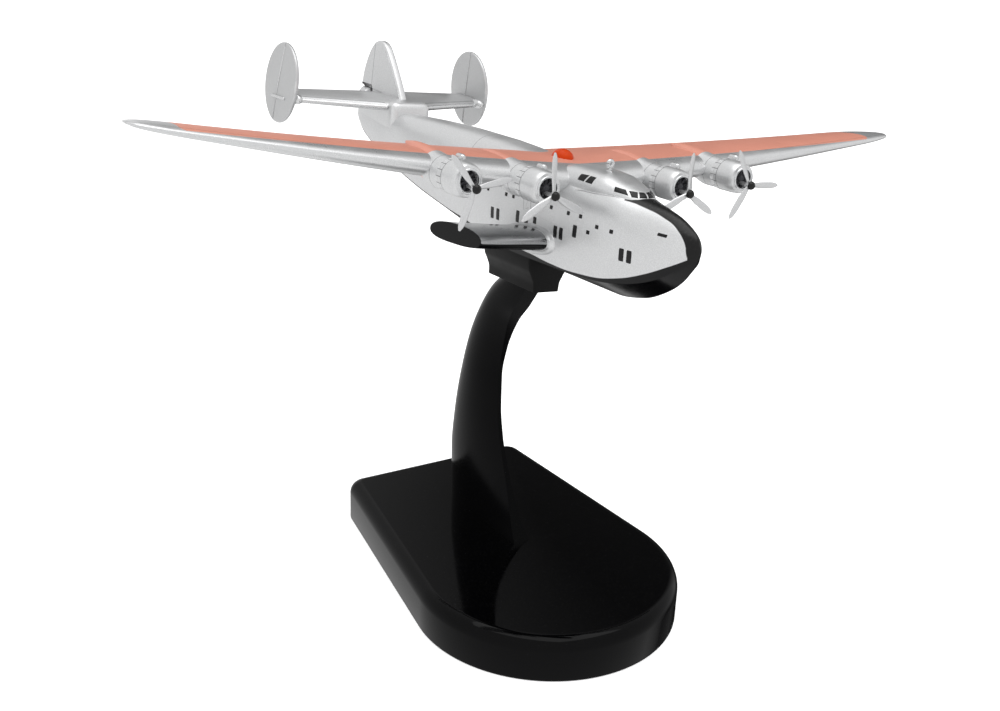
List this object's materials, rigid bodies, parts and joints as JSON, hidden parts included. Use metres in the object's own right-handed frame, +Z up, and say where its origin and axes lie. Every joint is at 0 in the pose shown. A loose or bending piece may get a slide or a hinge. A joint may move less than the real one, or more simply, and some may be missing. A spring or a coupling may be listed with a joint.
{
  "type": "display model flying boat on stand",
  "caption": "Die-cast display model of a high-wing flying boat with wing engines, hull sponsons and end-plate fins, fixed on a black desk stand with a curved arm.",
  "frame": {"origin": "on the table under the stand's base, at the centre of its rounded front", "axes": "+Z up, the aircraft's nose towards -Y, its port wing towards +X"},
  "size_m": [0.1314, 0.0961, 0.0854],
  "materials": {
    "stand_gloss_black": "glossy black plastic",
    "stand_satin_black": "satin black plastic",
    "cradle_matt_black": "matt black plastic",
    "airframe_silver": "satin silver paint on cast metal",
    "cowling_silver": "satin silver paint on cast metal",
    "blade_silver": "bright silver paint",
    "engine_dark": "dark grey paint",
    "cap_black": "black plastic",
    "dome_orange": "glossy orange paint"
  },
  "bodies": {
    "model_and_stand": {"stand_base": "stand_gloss_black", "stand_arm": "stand_satin_black", "stand_cradle": "cradle_matt_black", "hull": "airframe_silver", "wing": "airframe_silver", "sponson_starboard": "airframe_silver", "sponson_port": "airframe_silver", "tail_fairing": "airframe_silver", "tailplane": "airframe_silver", "centre_fin": "airframe_silver", "end_fin_starboard": "airframe_silver", "end_fin_port": "airframe_silver", "roof_dome": "dome_orange", "cowling_starboard_outer": "cowling_silver", "cowling_starboard_inner": "cowling_silver", "cowling_port_inner": "cowling_silver", "cowling_port_outer": "cowling_silver", "engine_starboard_outer": "engine_dark", "engine_starboard_inner": "engine_dark", "engine_port_inner": "engine_dark", "engine_port_outer": "engine_dark", "nacelle_starboard_outer": "airframe_silver", "nacelle_starboard_inner": "airframe_silver", "nacelle_port_inner": "airframe_silver", "nacelle_port_outer": "airframe_silver"},
    "propeller_starboard_outer": {"propeller_starboard_outer_blades": "blade_silver", "propeller_starboard_outer_cap": "cap_black"},
    "propeller_starboard_inner": {"propeller_starboard_inner_blades": "blade_silver", "propeller_starboard_inner_cap": "cap_black"},
    "propeller_port_inner": {"propeller_port_inner_blades": "blade_silver", "propeller_port_inner_cap": "cap_black"},
    "propeller_port_outer": {"propeller_port_outer_blades": "blade_silver", "propeller_port_outer_cap": "cap_black"}
  },
  "joints": [
    {"name": "propeller_starboard_outer_spin", "type": "hinge", "parent": "model_and_stand", "child": "propeller_starboard_outer", "pos_m": [-0.02052, -0.01036, 0.07528], "axis": [0.0632, -0.9956, 0.0691], "continuous": true},
    {"name": "propeller_starboard_inner_spin", "type": "hinge", "parent": "model_and_stand", "child": "propeller_starboard_inner", "pos_m": [-0.0084, -0.01036, 0.07287], "axis": [0.0632, -0.9956, 0.0691], "continuous": true},
    {"name": "propeller_port_inner_spin", "type": "hinge", "parent": "model_and_stand", "child": "propeller_port_inner", "pos_m": [0.01519, -0.00906, 0.07006], "axis": [0.0632, -0.9956, 0.0691], "continuous": true},
    {"name": "propeller_port_outer_spin", "type": "hinge", "parent": "model_and_stand", "child": "propeller_port_outer", "pos_m": [0.02746, -0.00772, 0.06955], "axis": [0.0632, -0.9956, 0.0691], "continuous": true}
  ]
}
